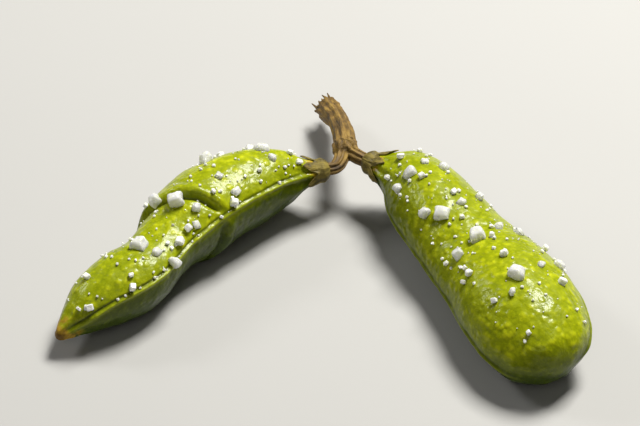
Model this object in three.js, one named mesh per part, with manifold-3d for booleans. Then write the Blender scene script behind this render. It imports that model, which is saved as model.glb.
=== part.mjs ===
// A picked piece of edamame branch, lying on a flat surface: a short brown twig, torn from the plant,
// that carries two plump green pods, each in its dried calyx, sprinkled with coarse salt crystals.
//
// Millimetres, +Z up. The origin is on the surface that the branch lies on, under the middle of its
// bounding box. +X points from the left pod to the right pod and +Y towards the torn end of the twig.

import * as THREE from "three";
import { mergeVertices } from "three/addons/utils/BufferGeometryUtils.js";
import { ConvexGeometry } from "three/addons/geometries/ConvexGeometry.js";
import Module from "manifold-3d";

const wasm = await Module();
wasm.setup();

// ---- driving dimensions -----------------------------------------------------------------------

const MIDDLE = new THREE.Vector2(-0.76, 8.4); // the middle of the branch in the sketch plane below
const CLEARANCE = 0.22; // kept between pieces that grow against each other
const POD_SIDES = 30; // facets around a pod
const POD_STEP = 1.05; // between the rings of a pod
const TWIG_SIDES = 12;
const TWIG_STEP = 0.9;
const CALYX_SIDES = 24;
const CALYX_STEP = 0.5;

// Each pod follows a spine from its stalk end to its beak. A station is
// [distance along the spine, reach to the left seam, reach to the right seam, half thickness], with
// left and right as seen from the stalk.
const PODS = {
  pod_right: {
    spine: [
      [5.6, 17.9, 6.2],
      [10.2, 14.8, 5.7],
      [13.6, 9.0, 4.95],
      [17.2, 2.6, 4.7],
      [21.0, -4.4, 5.1],
      [24.2, -12.0, 4.8],
      [26.4, -17.4, 3.2],
    ],
    stations: [
      [0, 1.05, 1.05, 1.05],
      [2.2, 2.4, 2.1, 1.9],
      [5.0, 4.3, 3.8, 3.5],
      [8.5, 5.5, 4.8, 4.8],
      [12.5, 5.9, 5.3, 5.1],
      [17.0, 6.1, 5.6, 4.6],
      [21.0, 6.5, 6.0, 4.3],
      [25.5, 6.9, 6.6, 5.0],
      [30.5, 7.1, 7.2, 5.4],
      [35.0, 6.7, 7.0, 5.1],
      [38.2, 5.8, 6.1, 4.4],
      [40.4, 4.3, 4.7, 3.4],
      [41.5, 2.5, 2.7, 2.0],
      [42.0, 1.1, 1.1, 0.9],
    ],
    roll: 9, // degrees; the left side is raised
    salted: [7, 37],
    crystals: 15,
  },
  pod_left: {
    spine: [
      [-0.6, 16.6, 6.0],
      [-7.4, 14.9, 5.6],
      [-14.4, 10.3, 5.25],
      [-19.0, 4.2, 4.9],
      [-22.4, -1.1, 4.3],
      [-27.2, -5.7, 3.85],
      [-31.6, -10.1, 2.3],
    ],
    stations: [
      [0, 1.05, 1.05, 1.05],
      [2.2, 1.9, 2.6, 1.8],
      [4.5, 3.2, 4.9, 3.3],
      [8.5, 4.8, 6.5, 4.6],
      [12.5, 5.6, 6.8, 5.0],
      [16.5, 5.8, 6.8, 5.2],
      [20.0, 5.2, 6.4, 4.7],
      [23.0, 4.7, 5.1, 3.9],
      [26.2, 4.6, 4.5, 3.7],
      [30.5, 4.8, 5.2, 4.2],
      [34.0, 4.3, 4.9, 3.9],
      [37.2, 3.2, 3.6, 3.0],
      [39.8, 1.9, 2.0, 1.8],
      [41.4, 1.1, 1.1, 1.05],
      [42.5, 0.5, 0.5, 0.5],
    ],
    roll: 28,
    salted: [6, 34],
    crystals: 13,
  },
};

// Round limbs: a station is [distance along the spine, radius].
const TWIG = {
  stemSpine: [
    [2.4, 20.4, 6.5], // the node, where both pod stalks leave the stem
    [2.2, 24.2, 6.0],
    [1.4, 28.4, 4.9],
    [0.2, 32.8, 3.3], // the torn end
  ],
  stem: [
    [0, 1.35],
    [6, 1.35],
    [12, 1.6],
    [15, 1.75],
  ],
  stalk: [
    [0, 1.15],
    [2, 0.95],
    [10, 0.95],
  ],
  stalkBend: 1.2, // how far before the calyx a stalk is in line with its pod
  knobRadius: 1.75,
  splinters: 3, // of the torn end
  splinterLength: 1.5,
};

// Distances along the pod from its stalk end.
const CALYX = {
  thickness: 0.5,
  neck: [
    [-1.0, 0.85],
    [-0.5, 1.45],
    [0.4, 1.75],
  ],
  grip: 1.8, // from here on the cup follows the pod's skin
  notch: 1.0, // where the notches between the teeth end
  tip: 2.8, // where the teeth end
  teeth: 5,
};
const CROWN_RADIUS = 9; // of the zigzag cutter, well outside the cup
const CROWN_STEEPNESS = 3; // the cutter's notches are deeper at its rim than at the cup

const CRYSTAL = { smallest: 1.1, largest: 2.4 };
const SALTED_ANGLES = [38, 142]; // degrees around a pod, where 90 is the top of the pod as it lies
const SPREAD = [0.754878, 0.56984]; // steps that spread the crystals evenly, along a pod and around it

// ---- materials --------------------------------------------------------------------------------

const podGreen = new THREE.MeshStandardMaterial({ color: 0x8fa516, roughness: 0.42 });
const twigBrown = new THREE.MeshStandardMaterial({ color: 0x8a5f22, roughness: 0.8 });
const calyxTan = new THREE.MeshStandardMaterial({ color: 0xb08a45, roughness: 0.85 });
const saltWhite = new THREE.MeshStandardMaterial({ color: 0xf4f2e6, roughness: 0.25 });

// ---- solids -----------------------------------------------------------------------------------

function solidOf(geometry) {
  const bare = geometry.clone();
  for (const name of Object.keys(bare.attributes)) if (name !== "position") bare.deleteAttribute(name);
  const merged = mergeVertices(bare, 1e-4);
  const vertProperties = new Float32Array(merged.attributes.position.array);
  const triVerts = new Uint32Array(merged.index.array);
  return new wasm.Manifold(new wasm.Mesh({ numProp: 3, vertProperties, triVerts }));
}

function geometryOf(solid) {
  const mesh = solid.getMesh();
  const geometry = new THREE.BufferGeometry();
  geometry.setAttribute("position", new THREE.BufferAttribute(mesh.vertProperties, 3));
  geometry.setIndex(new THREE.BufferAttribute(mesh.triVerts, 1));
  return geometry;
}

const LENS = { sharpness: 0.28, roundUpTo: 2, sharpFrom: 4 }; // how a section depends on its half thickness

const roundStations = (stations) => stations.map(([s, radius]) => [s, radius, radius, radius]);

// A limb follows a spine. Its section at a distance s is a lens, with its two sharp edges, the seams
// of a pod, to the left and right; a thin limb is round.
class Limb {
  constructor(spine, stations, roll = 0) {
    this.curve = new THREE.CatmullRomCurve3(spine.map((p) => new THREE.Vector3(...p)));
    this.curve.arcLengthDivisions = 400;
    this.length = this.curve.getLength();
    this.start = stations[0][0];
    this.end = Math.min(stations.at(-1)[0], this.length);
    this.sizes = new THREE.CubicInterpolant(
      stations.map(([s]) => s),
      stations.flatMap(([, leftReach, rightReach, thick]) => [leftReach, rightReach, thick]),
      3
    );
    this.roll = THREE.MathUtils.degToRad(roll);
  }

  // The point on the spine, the way along it, to its left and up, with the roll; straight on past both ends.
  frame(s) {
    const u = THREE.MathUtils.clamp(s / this.length, 0, 1);
    const ahead = this.curve.getTangentAt(u);
    const origin = this.curve.getPointAt(u).addScaledVector(ahead, s - u * this.length);
    const level = new THREE.Vector3(0, 0, 1).cross(ahead).normalize();
    const left = level.applyAxisAngle(ahead, this.roll);
    const up = ahead.clone().cross(left);
    return { origin, ahead, left, up };
  }

  size(s) {
    const [leftReach, rightReach, thick] = this.sizes.evaluate(THREE.MathUtils.clamp(s, this.start, this.end));
    return { leftReach, rightReach, thick };
  }

  // A point of the skin: angle 0 is the left seam, 90 degrees the top. share runs from the spine to the skin.
  point(s, angle, share = 1, grow = 0) {
    const { origin, left, up } = this.frame(s);
    const { leftReach, rightReach, thick } = this.size(s);
    const reach = (Math.cos(angle) > 0 ? leftReach : rightReach) + grow;
    const sharpness = 1 + LENS.sharpness * THREE.MathUtils.smoothstep(thick, LENS.roundUpTo, LENS.sharpFrom);
    const rise = (thick + grow) * Math.sign(Math.sin(angle)) * Math.abs(Math.sin(angle)) ** sharpness;
    return origin.addScaledVector(left, reach * Math.cos(angle) * share).addScaledVector(up, rise * share);
  }

  normal(s, angle) {
    const step = 0.05;
    const along = this.point(s + step, angle).sub(this.point(s - step, angle));
    const around = this.point(s, angle + step).sub(this.point(s, angle - step));
    return along.cross(around).normalize().negate();
  }

  // How far the skin rises, within reach of a point on it, above the plane that touches it there.
  swell(s, angle, reach) {
    const normal = this.normal(s, angle);
    const foot = this.point(s, angle);
    const heights = [0];
    for (let turn = 0; turn < 2 * Math.PI; turn += Math.PI / 4) {
      const [along, around] = [reach * Math.cos(turn), (reach * Math.sin(turn)) / this.size(s).leftReach];
      heights.push(this.point(s + along, angle + around).sub(foot).dot(normal));
    }
    return Math.max(...heights);
  }

  // The skin as a lathe of unit radius, bent along the spine. Nothing reaches below the surface it lies on.
  geometry(sides, step, grow = 0, start = this.start, end = this.end) {
    const rings = Math.ceil((end - start) / step);
    const profile = [new THREE.Vector2(0, end)];
    for (let i = rings; i >= 0; i--) profile.push(new THREE.Vector2(1, start + ((end - start) * i) / rings));
    profile.push(new THREE.Vector2(0, start));
    const skin = new THREE.LatheGeometry(profile, sides);
    const position = skin.getAttribute("position");
    for (let i = 0; i < position.count; i++) {
      const [x, s, z] = [position.getX(i), position.getY(i), position.getZ(i)];
      const share = Math.hypot(x, z) > 0.5 ? 1 : 0;
      const p = this.point(s, Math.atan2(z, x), share, grow);
      position.setXYZ(i, p.x, p.y, Math.max(p.z, 0));
    }
    return skin;
  }
}

// ---- pieces -----------------------------------------------------------------------------------

// The calyx is a thin cup that grips the pod's neck, with pointed teeth: a thicker copy of the neck,
// cut to a zigzag rim by a crown, less the neck itself.
function calyxGeometry(pod) {
  const gripped = (s) => [s, ...Object.values(pod.size(s)).map((reach) => reach + CALYX.thickness + CLEARANCE)];
  const stations = [...roundStations(CALYX.neck), gripped(CALYX.grip), gripped(CALYX.tip + 0.4)];
  const cup = new Limb(PODS[pod.name].spine, stations, PODS[pod.name].roll);
  const crown = new THREE.CylinderGeometry(CROWN_RADIUS, CROWN_RADIUS, 2, 2 * CALYX.teeth);
  const position = crown.getAttribute("position");
  const depth = CALYX.tip - CALYX.notch;
  for (let i = 0; i < position.count; i++) {
    const turn = Math.round((Math.atan2(position.getX(i), position.getZ(i)) / Math.PI) * CALYX.teeth);
    const atNotch = Math.hypot(position.getX(i), position.getZ(i)) > 1 && turn % 2 !== 0;
    const top = CALYX.tip - (atNotch ? CROWN_STEEPNESS * depth : 0);
    position.setY(i, position.getY(i) > 0 ? top : -CROWN_RADIUS);
  }
  const { origin, ahead, left, up } = pod.frame(0);
  crown.applyMatrix4(new THREE.Matrix4().makeBasis(left, ahead, up.negate()).setPosition(origin));
  const grip = solidOf(cup.geometry(CALYX_SIDES, CALYX_STEP));
  const hollow = solidOf(pod.geometry(CALYX_SIDES, CALYX_STEP, CLEARANCE, -CLEARANCE, 2 * CALYX.tip));
  return geometryOf(grip.intersect(solidOf(crown)).subtract(hollow));
}

// The twig: a stem with a torn end, a swollen knob at the node, and one stalk to each pod.
function twigGeometry(pods) {
  const stem = new Limb(TWIG.stemSpine, roundStations(TWIG.stem));
  const stemSkin = stem.geometry(TWIG_SIDES, TWIG_STEP);
  const position = stemSkin.getAttribute("position");
  const end = stem.frame(stem.end);
  for (let i = 0; i < position.count; i++) {
    const p = new THREE.Vector3().fromBufferAttribute(position, i);
    const reach = p.clone().sub(end.origin);
    if (reach.dot(end.ahead) < -TWIG_STEP / 3) continue;
    const turn = Math.atan2(reach.dot(end.up), reach.dot(end.left));
    p.addScaledVector(end.ahead, TWIG.splinterLength * (0.5 + 0.5 * Math.sin(TWIG.splinters * turn)));
    position.setXYZ(i, p.x, p.y, p.z);
  }
  const node = TWIG.stemSpine[0];
  const knob = new THREE.IcosahedronGeometry(TWIG.knobRadius, 2).translate(...node);
  let twig = solidOf(stemSkin).add(solidOf(knob));
  for (const pod of pods) {
    const { origin, ahead } = pod.frame(CALYX.neck[0][0] - CLEARANCE);
    const bend = origin.clone().addScaledVector(ahead, -TWIG.stalkBend);
    const stalk = new Limb([node, bend.toArray(), origin.toArray()], roundStations(TWIG.stalk));
    twig = twig.add(solidOf(stalk.geometry(TWIG_SIDES, TWIG_STEP)));
  }
  return geometryOf(twig);
}

// A crystal is a chipped block with a flat base at z = 0.
function crystalGeometry(size, seed) {
  THREE.MathUtils.seededRandom(seed);
  const chip = (spread) => (THREE.MathUtils.seededRandom() - 0.5) * spread;
  const half = [0.5 * size * (1 + chip(0.35)), 0.5 * size * (1 + chip(0.35))];
  const height = size * (0.72 + chip(0.4));
  const points = [];
  const corner = (x, y, inset, spread, z) => {
    points.push(new THREE.Vector3(x * half[0] * (inset + chip(spread)), y * half[1] * (inset + chip(spread)), z));
  };
  for (const x of [-1, 1])
    for (const y of [-1, 1]) {
      corner(x, y, 0.8, 0.3, 0);
      corner(x, y, 0.9, 0.25, height * (0.45 + chip(0.2)));
      corner(x, y, 0.62, 0.4, height);
    }
  return new ConvexGeometry(points);
}

// ---- assembly ---------------------------------------------------------------------------------

const branch = new THREE.Group();
branch.position.set(-MIDDLE.x, -MIDDLE.y, 0);

function place(name, geometry, material, parent = branch) {
  const mesh = new THREE.Mesh(geometry, material);
  mesh.name = name;
  parent.add(mesh);
  return mesh;
}

const pods = [];
for (const [name, sizes] of Object.entries(PODS)) {
  const pod = new Limb(sizes.spine, sizes.stations, sizes.roll);
  pod.name = name;
  pods.push(pod);
  place(name, pod.geometry(POD_SIDES, POD_STEP), podGreen);
  place(name.replace("pod", "calyx"), calyxGeometry(pod), calyxTan);
  for (let i = 0; i < sizes.crystals; i++) {
    const s = THREE.MathUtils.lerp(...sizes.salted, (0.5 + i * SPREAD[0]) % 1);
    const turn = THREE.MathUtils.lerp(...SALTED_ANGLES, (0.3 + i * SPREAD[1]) % 1) - sizes.roll;
    const angle = THREE.MathUtils.degToRad(turn);
    const size = THREE.MathUtils.lerp(CRYSTAL.smallest, CRYSTAL.largest, ((0.2 + i * 0.43) % 1) ** 2);
    const label = `salt_${name.replace("pod_", "")}_${String(i + 1).padStart(2, "0")}`;
    const grain = place(label, crystalGeometry(size, 11 + i), saltWhite);
    const normal = pod.normal(s, angle);
    grain.position.copy(pod.point(s, angle).addScaledVector(normal, pod.swell(s, angle, size / 2) + 0.03));
    grain.quaternion.setFromUnitVectors(new THREE.Vector3(0, 0, 1), normal);
    grain.rotateZ(2.4 * i);
  }
}
place("twig", twigGeometry(pods), twigBrown);

export default branch;
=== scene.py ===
"""A picked piece of edamame branch, lying on a flat surface.

A short twig, torn from the plant, carries two plump salted pods, each in its dried calyx. Shapes are
worked out in millimetres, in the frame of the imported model, and every finished piece is scaled to
metres: the surface is z = 0, +X runs from the left pod to the right pod, +Y to the twig's torn end.
"""

import logging
import math
from contextlib import contextmanager
from dataclasses import dataclass
from enum import Enum
from typing import Iterator, Sequence

import bpy
import numpy as np
from mathutils import Matrix, Vector, noise
from mathutils.bvhtree import BVHTree


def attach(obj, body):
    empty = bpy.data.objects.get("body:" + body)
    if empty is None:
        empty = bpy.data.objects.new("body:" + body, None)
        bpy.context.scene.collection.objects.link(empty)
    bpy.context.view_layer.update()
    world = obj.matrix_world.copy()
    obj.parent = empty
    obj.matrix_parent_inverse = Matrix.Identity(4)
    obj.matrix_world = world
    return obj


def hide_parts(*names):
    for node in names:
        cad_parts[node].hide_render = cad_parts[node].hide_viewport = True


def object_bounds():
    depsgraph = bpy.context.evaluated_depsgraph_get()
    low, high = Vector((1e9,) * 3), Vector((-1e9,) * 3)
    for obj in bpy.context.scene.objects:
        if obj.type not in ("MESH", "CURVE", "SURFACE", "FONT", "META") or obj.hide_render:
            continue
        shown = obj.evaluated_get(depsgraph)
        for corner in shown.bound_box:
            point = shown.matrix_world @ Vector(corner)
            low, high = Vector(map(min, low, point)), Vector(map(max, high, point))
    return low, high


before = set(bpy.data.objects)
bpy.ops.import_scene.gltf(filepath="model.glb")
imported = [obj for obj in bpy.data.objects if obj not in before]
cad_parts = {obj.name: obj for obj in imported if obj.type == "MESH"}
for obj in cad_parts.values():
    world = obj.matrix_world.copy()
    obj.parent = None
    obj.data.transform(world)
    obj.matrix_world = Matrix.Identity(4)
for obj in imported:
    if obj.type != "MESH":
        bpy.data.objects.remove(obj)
CAD_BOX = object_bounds()
BODY = "root"
MM = 0.001
MIDDLE = np.array([-0.76, 8.4, 0.0])  # the middle of the branch in the plane that its spines are drawn in
ROUND_TURN = 2 * math.pi
GOLDEN_TURN = 2.4  # radians; turns of about this angle never line up
SALT_SEED = 31
LOG = logging.getLogger("edamame")

Colour = tuple[float, float, float]
Triple = tuple[float, float, float]


class Side(Enum):
    """The two pods, named as they lie seen from the front."""

    RIGHT = "right"
    LEFT = "left"


class Slot(Enum):
    """The record's material slots."""

    POD = "pod"
    CALYX = "calyx"
    TWIG = "twig"
    SALT = "salt"


# ---- numbers ----------------------------------------------------------------------------------


def smoothstep(low: float, high: float, x: np.ndarray) -> np.ndarray:
    """A smooth rise from 0 to 1.

    Args:
        low: where the rise starts; it may be above high for a fall.
        high: where it ends.
        x: where it is asked for.

    Returns:
        The value at each x.
    """
    t = np.clip((x - low) / (high - low), 0.0, 1.0)
    return t * t * (3.0 - 2.0 * t)


def bell(x: np.ndarray, width: float) -> np.ndarray:
    """A smooth bump of height 1 at 0, which has fallen to a third at width."""
    return np.exp(-((x / width) ** 2))


def through_stations(x: np.ndarray, knots: np.ndarray, values: np.ndarray) -> np.ndarray:
    """Smooth values between stations, where the slope at a station is the mean of its neighbours' slopes.

    Args:
        x: where the values are asked for.
        knots: the stations' places, rising.
        values: one row for each station.

    Returns:
        One row for each x.
    """
    secants = np.diff(values, axis=0) / np.diff(knots)[:, None]
    slopes = np.vstack([secants[:1], (secants[1:] + secants[:-1]) / 2, secants[-1:]])
    x = np.clip(x, knots[0], knots[-1])
    k = np.clip(np.searchsorted(knots, x, side="right") - 1, 0, len(knots) - 2)
    gap = (knots[k + 1] - knots[k])[:, None]
    p = (x - knots[k])[:, None] / gap
    start = (2 * p**3 - 3 * p**2 + 1) * values[k] + (p**3 - 2 * p**2 + p) * gap * slopes[k]
    return start + (3 * p**2 - 2 * p**3) * values[k + 1] + (p**3 - p**2) * gap * slopes[k + 1]


def fractal(points: np.ndarray, wavelength: float, octaves: int = 3, seed: float = 0.0) -> np.ndarray:
    """Smooth random values, about -1 to 1, that follow the place.

    Args:
        points: one row for each place, in millimetres.
        wavelength: the size of the largest lumps, in millimetres.
        octaves: how many finer layers are added up.
        seed: another seed gives another pattern.

    Returns:
        One value for each place.
    """
    scaled = points / wavelength + seed
    return np.array([noise.fractal(Vector(p), 1.0, 2.0, octaves) for p in scaled])


# ---- limbs ------------------------------------------------------------------------------------


@dataclass
class Limb:
    """A round or lens-shaped body along a smooth spine, such as a pod or a stalk.

    A station is (distance along the spine, reach to the left, reach to the right, half thickness). The
    two sharp edges of the section, a pod's seams, are on the left and right, seen from the stalk.
    """

    spine: Sequence[Triple]
    stations: Sequence[tuple[float, ...]]
    roll: float = 0.0
    sharpness: float = 0.28
    samples: int = 401

    def __post_init__(self) -> None:
        """Measures the spine."""
        self.knots = np.array(self.spine, float) - MIDDLE
        before, after = 2 * self.knots[0] - self.knots[1], 2 * self.knots[-1] - self.knots[-2]
        self.padded = np.vstack([before, self.knots, after])
        self.times = np.linspace(0.0, 1.0, self.samples)
        line = self._point(self.times)
        steps = np.linalg.norm(np.diff(line, axis=0), axis=1)
        self.lengths = np.concatenate([[0.0], np.cumsum(steps)])
        self.length = float(self.lengths[-1])
        self.places = np.array([row[0] for row in self.stations], float)
        self.sizes = np.array([row[1:] for row in self.stations], float)
        self.start, self.end = float(self.places[0]), min(float(self.places[-1]), self.length)

    @staticmethod
    def _slope(knots: Sequence[np.ndarray], gaps: Sequence[np.ndarray]) -> np.ndarray:
        """Slopes of the smooth line at the middle one of three knots.

        Args:
            knots: the knot before, the knot itself and the knot after.
            gaps: the two gaps between them.

        Returns:
            One row for each row of the knots.
        """
        before, here, after = knots
        return (here - before) / gaps[0] - (after - before) / (gaps[0] + gaps[1]) + (after - here) / gaps[1]

    def _point(self, times: np.ndarray) -> np.ndarray:
        """Points of the smooth line through the knots.

        Args:
            times: from 0 at the first knot to 1 at the last.

        Returns:
            One row for each time.
        """
        at = times * (len(self.knots) - 1)
        k = np.clip(at.astype(int), 0, len(self.knots) - 2)
        w = (at - k)[:, None]
        knots = [self.padded[k + i] for i in range(4)]
        gaps = [np.sqrt(np.linalg.norm(b - a, axis=1))[:, None] for a, b in zip(knots, knots[1:])]
        leave = self._slope(knots[:3], gaps[:2]) * gaps[1]
        arrive = self._slope(knots[1:], gaps[1:]) * gaps[1]
        first, second = knots[1:3]
        bend = 3 * (second - first) - 2 * leave - arrive
        return first + leave * w + bend * w**2 + (2 * (first - second) + leave + arrive) * w**3

    def frames(self, s: np.ndarray) -> tuple[np.ndarray, np.ndarray, np.ndarray, np.ndarray]:
        """The line's place and directions.

        Args:
            s: distances along the spine; beyond its ends it runs straight on.

        Returns:
            The place, the way ahead, the way to the left and the way up, one row for each s.
        """
        inside = np.clip(s, 0.0, self.length)
        times = np.interp(inside, self.lengths, self.times)
        step = 1e-4
        ahead = self._point(np.minimum(times + step, 1.0)) - self._point(np.maximum(times - step, 0.0))
        ahead /= np.linalg.norm(ahead, axis=1)[:, None]
        level = np.cross([0.0, 0.0, 1.0], ahead)
        level /= np.linalg.norm(level, axis=1)[:, None]
        turn = math.radians(self.roll)
        left = level * math.cos(turn) + np.cross(ahead, level) * math.sin(turn)
        place = self._point(times) + ahead * (s - inside)[:, None]
        return place, ahead, left, np.cross(ahead, left)

    def size(self, s: np.ndarray) -> np.ndarray:
        """Reach to the left, reach to the right and half thickness, one row for each s."""
        return through_stations(s, self.places, self.sizes)

    def reach(self, s: np.ndarray, angle: np.ndarray) -> np.ndarray:
        """Reach of the section on the angle's side, left or right."""
        size = self.size(s)
        return np.where(np.cos(angle) > 0, size[:, 0], size[:, 1])

    def rise(self, s: np.ndarray, angle: np.ndarray) -> np.ndarray:
        """Height of the skin above the plane of the two seams.

        Args:
            s: distances along the spine.
            angle: angles around it.

        Returns:
            One height for each s, in millimetres.
        """
        thick = self.size(s)[:, 2]
        power = 1.0 + self.sharpness * smoothstep(2.0, 4.0, thick)
        return thick * np.sign(np.sin(angle)) * np.abs(np.sin(angle)) ** power

    def skin(self, s: np.ndarray, angle: np.ndarray, share: np.ndarray | float = 1.0) -> np.ndarray:
        """Points of the skin.

        Args:
            s: distances along the spine.
            angle: angles around it, where 0 is the left seam and a quarter turn is the top.
            share: 0 on the spine and 1 on the skin.

        Returns:
            One row for each s.
        """
        place, _, left, up = self.frames(s)
        aside = self.reach(s, angle) * np.cos(angle)
        return place + left * (aside * share)[:, None] + up * (self.rise(s, angle) * share)[:, None]

    def normals(self, s: np.ndarray, angle: np.ndarray) -> np.ndarray:
        """Directions straight out of the skin.

        Args:
            s: distances along the spine.
            angle: angles around it.

        Returns:
            One row for each s, of length 1.
        """
        step = 0.05
        along = self.skin(s + step, angle) - self.skin(s - step, angle)
        around = self.skin(s, angle + step) - self.skin(s, angle - step)
        out = np.cross(around, along)
        return out / np.maximum(np.linalg.norm(out, axis=1), 1e-9)[:, None]


def round_stations(*rows: tuple[float, float]) -> list[tuple[float, ...]]:
    """Stations of a round limb.

    Args:
        *rows: (distance along the spine, radius) of each station.

    Returns:
        The stations with the radius on all sides.
    """
    return [(s, radius, radius, radius) for s, radius in rows]


def settle_on_surface(points: np.ndarray, softness: float = 0.2) -> np.ndarray:
    """Flattens what would reach below the surface, with a soft edge to the flat patch.

    Args:
        points: one row for each point, in millimetres.
        softness: the height where the flattening starts.

    Returns:
        The points, none of them below the surface.
    """
    low = points[:, 2] < softness
    points = points.copy()
    points[low, 2] = softness * np.exp(points[low, 2] / softness - 1.0)
    return points


# ---- modelling --------------------------------------------------------------------------------


def select_only(piece: bpy.types.Object) -> None:
    """Makes one object the only selected one and the active one.

    Args:
        piece: the object.
    """
    bpy.ops.object.select_all(action="DESELECT")
    piece.select_set(True)
    bpy.context.view_layer.objects.active = piece


@contextmanager
def editing(piece: bpy.types.Object) -> Iterator[None]:
    """Edit mode on one piece, with all of it selected.

    Args:
        piece: the mesh object.

    Yields:
        Nothing; object mode comes back at the end.
    """
    select_only(piece)
    bpy.ops.object.mode_set(mode="EDIT")
    bpy.ops.mesh.select_all(action="SELECT")
    yield
    bpy.ops.object.mode_set(mode="OBJECT")


def read_rows(values: bpy.types.bpy_prop_collection, key: str) -> np.ndarray:
    """Reads one direction or place of each element of a mesh.

    Args:
        values: the mesh's collection, such as its vertices.
        key: the property that is read.

    Returns:
        One row of three for each element.
    """
    flat = np.empty(len(values) * 3, np.float32)
    values.foreach_get(key, flat)
    return flat.reshape(-1, 3).astype(float)


def coordinates(piece: bpy.types.Object) -> np.ndarray:
    """The places of a mesh's vertices, one row each."""
    return read_rows(piece.data.vertices, "co")


def vertex_normals(piece: bpy.types.Object) -> np.ndarray:
    """The directions of a mesh's vertex normals, one row each."""
    return read_rows(piece.data.vertex_normals, "vector")


def move_vertices(piece: bpy.types.Object, points: np.ndarray) -> None:
    """Puts a mesh's vertices at these places, one row each."""
    piece.data.vertices.foreach_set("co", points.astype(np.float32).ravel())
    piece.data.update()


def mark(piece: bpy.types.Object, name: str, values: np.ndarray) -> None:
    """Stores a number or a direction for each vertex, for a material to read.

    Args:
        piece: the mesh object.
        name: the attribute's name.
        values: one number or one row of three for each vertex.
    """
    kind, key = ("FLOAT", "value") if values.ndim == 1 else ("FLOAT_VECTOR", "vector")
    attribute = piece.data.attributes.new(name, kind, "POINT")
    attribute.data.foreach_set(key, values.astype(np.float32).ravel())


def extruded_tube(name: str, steps: Sequence[float], sides: int, cuts: int = 0) -> bpy.types.Object:
    """A straight tube of radius 1 along Z from z = 0, drawn out of a circle step by step.

    Args:
        name: the object's name.
        steps: how far each extrusion goes.
        sides: edges around the circle.
        cuts: how many cuts each edge gets at the end.

    Returns:
        The tube, open at both ends.
    """
    bpy.ops.object.select_all(action="DESELECT")
    bpy.ops.mesh.primitive_circle_add(vertices=sides, radius=1.0, fill_type="NOTHING")
    tube = bpy.context.active_object
    tube.name = name
    with editing(tube):
        bpy.ops.mesh.select_mode(type="EDGE")
        for step in steps:
            bpy.ops.mesh.extrude_region_move(TRANSFORM_OT_translate={"value": (0.0, 0.0, step)})
        bpy.ops.mesh.select_all(action="SELECT")
        if cuts:
            bpy.ops.mesh.subdivide(number_cuts=cuts)
    return tube


def close_and_orient(piece: bpy.types.Object, merge: float = 0.002) -> None:
    """Merges doubled vertices, such as those of a closed end, fills holes and turns the faces outwards.

    Args:
        piece: the mesh object.
        merge: the distance, in millimetres, up to which vertices are merged.
    """
    with editing(piece):
        bpy.ops.mesh.remove_doubles(threshold=merge)
        bpy.ops.mesh.fill_holes(sides=0)
        bpy.ops.mesh.normals_make_consistent(inside=False)


def apply_modifier(piece: bpy.types.Object, kind: str, **settings: float | int | str | bool) -> None:
    """Adds a modifier and applies it.

    Args:
        piece: the object that gets it.
        kind: the modifier's type.
        **settings: its properties.
    """
    select_only(piece)
    modifier = piece.modifiers.new(kind.title(), kind)
    for key, value in settings.items():
        setattr(modifier, key, value)
    bpy.ops.object.modifier_apply(modifier=modifier.name)


def join(pieces: Sequence[bpy.types.Object]) -> bpy.types.Object:
    """Joins objects into the first one.

    Args:
        pieces: the mesh objects.

    Returns:
        The first one, which is now all of them.
    """
    select_only(pieces[0])
    for piece in pieces[1:]:
        piece.select_set(True)
    bpy.ops.object.join()
    return pieces[0]


def hand_over(
    piece: bpy.types.Object, material: bpy.types.Material, nodes: Sequence[str] = ()
) -> None:
    """Scales a finished piece to metres, dresses it and hangs it on the frame.

    Args:
        piece: the finished object, in millimetres.
        material: its finish.
        nodes: the CAD nodes that it stands for.
    """
    select_only(piece)
    piece.scale = (MM, MM, MM)
    bpy.ops.object.transform_apply(location=True, rotation=True, scale=True)
    piece.data.materials.clear()
    piece.data.materials.append(material)
    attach(piece, BODY)
    if nodes:
        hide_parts(*nodes)
    LOG.info("%s: %d faces", piece.name, len(piece.data.polygons))


# ---- finishes ---------------------------------------------------------------------------------


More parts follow.
